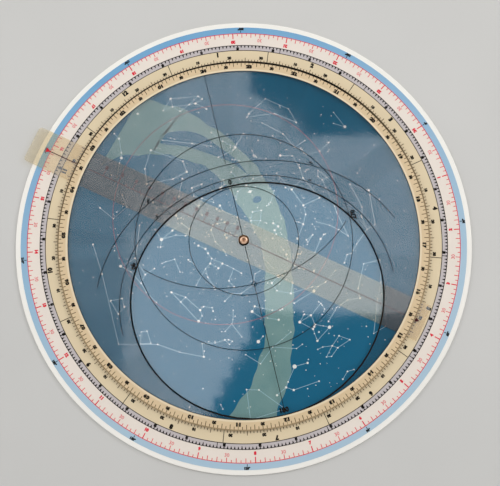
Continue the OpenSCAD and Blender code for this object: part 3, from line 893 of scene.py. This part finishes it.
    "hair": ([(13.17, 17.5, 4.3), (13.2, 27.9, 4.3), (12.45, 28.3, 4.4)], [(0, 1, 2)]),
    "lynx": ([
        (9.35, 34.4, 3.1), (9.01, 41.8, 4), (8.38, 43.2, 4.3), (7.45, 49.2, 4.6), (6.95, 58.4, 4.4),
        (6.33, 59, 4.5),
    ], [(0, 1, 2, 3, 4, 5)]),
    "giraffe": ([(5.06, 60.4, 4), (4.9, 66.3, 4.3), (3.84, 71.3, 4.6), (5.06, 53.8, 4.4)], [(3, 0, 1, 2)]),
    "lizard": ([
        (22.52, 50.3, 3.8), (22.39, 52.2, 4.4), (22.41, 49.5, 4.6), (22.51, 47.7, 4.4), (22.27, 37.7, 4.1),
    ], [(1, 0, 2, 3, 4)]),
}

# Chart of the stars: the limit keeps the marks off the edge of the blue field
CHART_LIMIT_R = MAP_R + 1
STAR_RADII = [(-1, 1.3), (0, 1.1), (1, 0.95), (2, 0.72), (3, 0.52), (4, 0.38), (9, 0.28)]
STAR_SIDES = 14
FIGURE_LINE_W = 0.28
FAINT_STARS = 620
FAINT_SEED = 7
FAINT_LOW = -38
FAINT_SIDES = 8
FAINT_R = 0.2
FAINT_SPREAD = 0.22


def star_r(magnitude):
    """Radius of a star's dot; brighter stars have lower magnitudes."""
    return next(r for limit, r in STAR_RADII if magnitude < limit + 0.5)


def on_chart(point, margin=0.0):
    return math.hypot(*point) + margin < CHART_LIMIT_R


def make_stars():
    """Dots for the stars of every figure, thin lines through them, and faint stars in between."""
    dots = Print(BASE_FACE)
    lines = Print(BASE_FACE, FIGURE_LINE_T)
    drawn = set()
    for stars, paths in FIGURES.values():
        points = [chart_point(hour * HOUR_ANGLE, declination) for hour, declination, _ in stars]
        for star, point in zip(stars, points):
            r = star_r(star[2])
            if star not in drawn and on_chart(point, r):
                dots.disc(point, r, STAR_SIDES)
                drawn.add(star)
        for path in paths:
            for i, j in zip(path, path[1:]):
                if on_chart(points[i]) and on_chart(points[j]):
                    lines.line(points[i], points[j], FIGURE_LINE_W)

    chance = random.Random(FAINT_SEED)
    low = sin(FAINT_LOW)
    for _ in range(FAINT_STARS):
        declination = math.degrees(math.asin(low + (1 - low) * chance.random()))
        point = chart_point(360 * chance.random(), declination)
        r = FAINT_R + FAINT_SPREAD * chance.random() ** 2
        if math.hypot(*point) > WASHER_R + 1:
            dots.disc(point, r, FAINT_SIDES)
    dots.make("star_dots", white_ink, "base")
    lines.make("figure_lines", figure_ink, "base")


# Galactic pole and the galactic longitude of the north pole of the sky
POLE_ASCENSION = 192.86
POLE_DECLINATION = 27.13
NORTH_LONGITUDE = 122.93


def galactic_point(longitude, latitude):
    """Place on the chart of a point in galactic coordinates, held inside the edge of the chart."""
    declination, angle = seen_from_north(NORTH_LONGITUDE - longitude, latitude, POLE_DECLINATION)
    r = min(chart_r(90 - declination), CHART_LIMIT_R)
    return polar(r, chart_direction(POLE_ASCENSION + angle))


# Galactic longitudes at which the band starts, splits, joins again, begins to thin out and ends
BAND_START = -18
RIFT_START = 8
RIFT_END = 71
FADE_START = 180
BAND_END = 259


def milky_way_edge(longitude, side):
    """Galactic latitude of an edge of the Milky Way, which thins out past the hunter."""
    if side < 0:
        width = 9.6 + 1.6 * cos(longitude - 51) + 3.3 * cos(2 * (longitude - 100))
    else:
        past = max(0, (longitude - FADE_START) / (BAND_END - FADE_START))
        width = 15 + 1.2 * cos(4.5 * (longitude - 15)) * (1 - past) - 15 * past ** 1.4
    waver = 0.5 * sin(13 * longitude + 40 * side) + 0.3 * sin(29 * longitude + 90 * side)
    return side * (width + waver)


def rift_edge(longitude, side):
    """Edge of the dark rift that splits the band between the swan and the archer."""
    along = (longitude - RIFT_START) / (RIFT_END - RIFT_START)
    middle = 7.5 - 0.19 * (longitude - RIFT_START)
    half_width = 4.8 * max(0, sin(180 * math.sqrt(along))) + 0.01
    return middle + side * half_width + 0.5 * sin(11 * longitude)


def make_milky_way():
    """A band along the galactic equator, in two arms where the rift runs, with a gap in the north."""
    band = Print(BASE_FACE, MILKY_WAY_T)

    def arm(start, end, low_edge, high_edge):
        longitudes = range(start, end)
        low = [galactic_point(a, low_edge(a, -1)) for a in longitudes]
        high = [galactic_point(a, high_edge(a, 1)) for a in longitudes]
        band.strip(low, high)

    arm(BAND_START, RIFT_START + 1, milky_way_edge, milky_way_edge)
    arm(RIFT_START, RIFT_END + 1, milky_way_edge, lambda a, _: rift_edge(a, -1))
    arm(RIFT_START, RIFT_END + 1, lambda a, _: rift_edge(a, 1), milky_way_edge)
    arm(RIFT_END, BAND_END, milky_way_edge, milky_way_edge)
    band.make("milky_way", milky_way_surface(), "base")

    longitude = 93
    latitude = 0.5
    reach = 2.8
    rise = 3.8
    turns = range(360, 0, -15)
    gap = Print(BASE_FACE, GAP_T)
    gap.prism([galactic_point(longitude + reach * cos(a), latitude + rise * sin(a)) for a in turns])
    gap.make("milky_way_gap", NODE_MATERIALS["star_field"], "base")


# Pointer


def make_pointer_print():
    """Numbers of the declinations beside the solids' marks, and short marks between them."""
    ink = NODE_MATERIALS["pointer_scale"]
    number_gap = 2
    number_h = 2.2
    marks = Print(POINTER_FACE)
    numbers = Print(POINTER_FACE)
    for declination in range(DECLINATION_LOW, 90, 5):
        r = chart_r(90 - declination)
        if declination % 10:
            ends = [turned((r, y), POINTER_ANGLE) for y in (-DECLINATION_MARK_L / 2, 0)]
            marks.line(ends[0], ends[1], LINE_W)
        else:
            place = turned((r, -DECLINATION_MARK_L - number_gap), POINTER_ANGLE)
            numbers.words(str(abs(declination)), place, number_h, POINTER_ANGLE - 90)
    marks.make("pointer_marks", ink, "pointer")
    numbers.make("pointer_numbers", ink, "pointer")


# Overlay


def make_hour_print():
    """Marks for every five minutes, and the numbers of the hours and half hours."""
    start_r = OVERLAY_R - EDGE_LINE_W
    long_mark = 2.9
    short_mark = 1.7
    marks = Print(FILM_FACE)
    for i in range(HOURS * MARKS_PER_HOUR):
        if i % MARKS_PER_HOUR:
            length = short_mark if i % 2 else long_mark
            marks.mark(OVERLAY_ANGLE + i * HOUR_ANGLE / MARKS_PER_HOUR, start_r - length, start_r, LINE_W)
    # painted shadow of the hour ring's inner edge, drawn as a thin line round the map
    edge = Print(FILM_FACE)
    edge.ring(MAP_R, MAP_R - LINE_W)
    edge.make("map_edge_shadow_line", map_edge_painted_shadow, "overlay")

    number_r = start_r - 3
    hour_h = 2.5
    hour_stretch = 1.3
    half_h = 2.1
    numbers = Print(FILM_FACE)
    for hour in range(HOURS):
        direction = OVERLAY_ANGLE + hour * HOUR_ANGLE
        numbers.outward_words(f"{hour or HOURS:02}", number_r, direction, hour_h, HEAVY_WEIGHT, hour_stretch)
        numbers.outward_words("30", number_r, direction + HOUR_ANGLE / 2, half_h, HEAVY_WEIGHT)
    marks.make("hour_marks", brown_ink, "overlay")
    numbers.make("hour_numbers", black_ink, "overlay")


def make_edge_line():
    """Painted shadow of the overlay's raised edge: a dark band that makes the edge line swell inwards at the
    far side, to almost twice its width.
    """
    outer_r = OVERLAY_R - EDGE_LINE_W / 2
    middle = 68
    reach = 50
    end_w = 0.4
    shadow_w = 0.6
    angles = range(middle - reach, middle + reach + 1, 2)
    # painted shadow: dark ink on the overlay film where its raised edge shades the base
    edge_shadow_print = Print(FILM_FACE)
    outer = [polar(outer_r, a) for a in angles]
    inner = [polar(outer_r - end_w - shadow_w * cos((a - middle) * 90 / reach), a) for a in angles]
    edge_shadow_print.strip(inner, outer)
    edge_shadow_print.make("edge_line_painted_shadow", NODE_MATERIALS["hour_scale"], "overlay")


def make_sky_print():
    """Azimuths at the four quarters of the horizon, and how deep the Sun is on the twilight lines."""
    azimuth_h = 3.4
    azimuths = Print(FILM_FACE)
    for azimuth, outward in ((0, 2.6), (90, 2.6), (180, -3.4), (270, 2.6)):
        place = sky_point(azimuth, 0, outward)
        azimuths.words(str(azimuth), place, azimuth_h, inward_turn(place))
    azimuths.make("azimuth_numbers", black_ink, "overlay")

    dip_h = 1.7
    dip_gap = 1.6
    dip_azimuth = 58
    depths = Print(FILM_FACE)
    for dip in (CIVIL_DIP, DARK_DIP):
        for azimuth in (dip_azimuth, 360 - dip_azimuth):
            place = sky_point(azimuth, -dip, dip_gap)
            depths.words(f"-{dip}°", place, dip_h, inward_turn(place))
    depths.make("twilight_numbers", black_ink, "overlay")


# Floor, light and camera


def make_floor():
    half = 1.5
    below = 0.00005
    mesh = bpy.data.meshes.new("floor")
    corners = [(-half, -half, -below), (half, -half, -below), (half, half, -below), (-half, half, -below)]
    mesh.from_pydata(corners, [], [[0, 1, 2, 3]])
    mesh.materials.append(floor_surface())
    floor = new_object("floor", mesh)


def make_softbox(name, centre, aim, width, depth, radiance):
    """Rectangular lamp; a lamp's power is its radiance times pi and its area."""
    light = bpy.data.lights.new(name, "AREA")
    light.shape = "RECTANGLE"
    light.size = width
    light.size_y = depth
    light.energy = radiance * math.pi * width * depth
    lamp = new_object(name, light)
    lamp.location = centre
    direction = Vector(aim) - Vector(centre)
    lamp.rotation_euler = direction.to_track_quat("-Z", "Y").to_euler()


def make_lights():
    """Panels overhead, which the clear disc mirrors to the camera, and two at the sides that it doesn't."""
    overhead = 1.0
    radiance = 2.1
    near_y = -0.25
    far_y = 0.5
    outer_x = -0.4
    left_x = -0.235
    corner_x = -0.16
    slats_x = -0.081
    middle_x = 0.003
    right_x = 0.1
    last_x = 0.38

    def panel(name, low_x, high_x, low_y, high_y, level=1.0):
        x = (low_x + high_x) / 2
        y = (low_y + high_y) / 2
        make_softbox(name, (x, y, overhead), (x, y, 0), high_x - low_x, high_y - low_y, radiance * level)

    def slats(name, low_x, high_x, low_ys, high_ys):
        """Panels side by side, whose ends step from the first of two places to the second."""
        count = 5
        width = (high_x - low_x) / count
        for i in range(count):
            along = (i + 0.5) / count
            low_y = low_ys[0] + along * (low_ys[1] - low_ys[0])
            high_y = high_ys[0] + along * (high_ys[1] - high_ys[0])
            panel(f"{name}_{i + 1}", low_x + i * width, low_x + (i + 1) * width, low_y, high_y)

    panel("panel_far_left_low", outer_x, left_x, near_y, 0, 0.38)
    panel("panel_far_left_middle", outer_x, left_x, 0, 0.28, 0.52)
    panel("panel_far_left_high", outer_x, left_x, 0.28, far_y, 0.65)
    panel("panel_left_low", left_x, corner_x, near_y, 0.15)
    panel("panel_left_high", left_x, corner_x, 0.15, far_y, 0.68)
    panel("panel_left", corner_x, slats_x, near_y, far_y)
    slats("slat_left", slats_x, middle_x, (-0.209, -0.045), (far_y, far_y))
    slats("slat_right", middle_x, right_x, (0, 0), (0.431, 0.362))
    panel("panel_right", right_x, last_x, -0.005, 0.34)

    height = 0.9
    size = 0.9
    for name, x, level in (("side_left", -1.15, 2.9), ("side_right", 1.15, 3.9)):
        make_softbox(name, (x, 0.55, height), (0, 0, 0), size, size, level)


def make_world():
    """Pale studio walls under a dim ceiling."""
    world = bpy.data.worlds.new("studio")
    world.use_nodes = True
    nodes = world.node_tree.nodes
    links = world.node_tree.links
    direction = nodes.new("ShaderNodeTexCoord").outputs["Generated"]
    parts = nodes.new("ShaderNodeSeparateXYZ")
    fade = nodes.new("ShaderNodeMapRange")
    fade.interpolation_type = "SMOOTHSTEP"
    set_ranges(fade, from_low=0.3, from_high=0.85, to_low=0.95, to_high=0.08)
    links.new(direction, parts.inputs["Vector"])
    links.new(parts.outputs["Z"], fade.inputs["Value"])
    links.new(fade.outputs["Result"], nodes["Background"].inputs["Strength"])
    nodes["Background"].inputs["Color"].default_value = (1, 1, 1, 1)
    bpy.context.scene.world = world


def make_camera():
    """Almost straight above, tilted towards the viewer's side, with the photograph's field of view."""
    distance = 0.5
    tilt = math.radians(7.5)
    aim = Vector((3.94, -1.32, 0)) * MM
    data = bpy.data.cameras.new("camera")
    data.lens = 56.5
    data.sensor_width = 36
    camera = new_object("camera", data)
    camera.location = aim + distance * Vector((0, -math.sin(tilt), math.cos(tilt)))
    camera.rotation_euler = (tilt, 0, 0)
    bpy.context.scene.camera = camera


bpy.context.scene.view_settings.view_transform = "Standard"
paint_solids()
make_right_ascension_print()
make_day_print()
make_date_print()
make_longitude_print()
make_milky_way()
make_stars()
make_pointer_print()
make_hour_print()
make_edge_line()
make_sky_print()
make_floor()
make_lights()
make_world()
make_camera()
